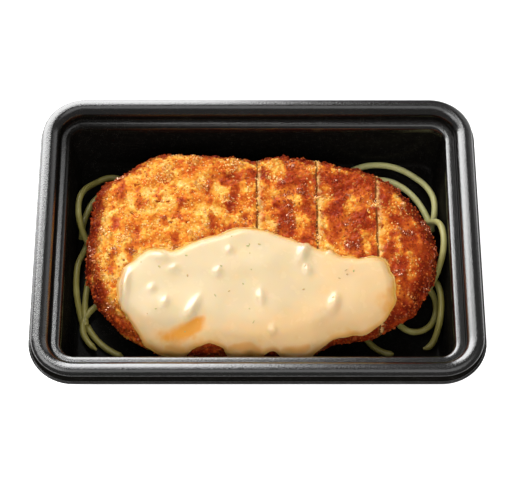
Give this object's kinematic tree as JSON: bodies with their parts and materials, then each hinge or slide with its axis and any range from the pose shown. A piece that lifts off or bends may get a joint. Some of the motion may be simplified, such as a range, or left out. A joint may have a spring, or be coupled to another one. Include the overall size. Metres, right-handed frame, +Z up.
{
  "type": "chicken nanban",
  "caption": "Sliced, breaded and glazed fried chicken cutlet with creamy egg dressing over its front half, on a thin bed of noodles in a rectangular black takeaway tray.",
  "frame": {"origin": "middle of the tray's underside", "axes": "+X along the tray's long side, +Y towards its back, +Z up"},
  "size_m": [0.18, 0.13, 0.03],
  "materials": {
    "tray": "black speckled moulded sheet, satin",
    "crust": "craggy golden-brown crumb with glossy dark red-brown glaze",
    "dressing": "glossy pale cream with small egg lumps and herb specks",
    "noodle": "moist pale olive-yellow"
  },
  "bodies": {
    "root": {"tray": "tray", "noodles": "noodle", "cutlet_slice_1": "crust", "cutlet_slice_2": "crust", "cutlet_slice_3": "crust", "cutlet_slice_4": "crust", "dressing": "dressing"}
  },
  "joints": []
}
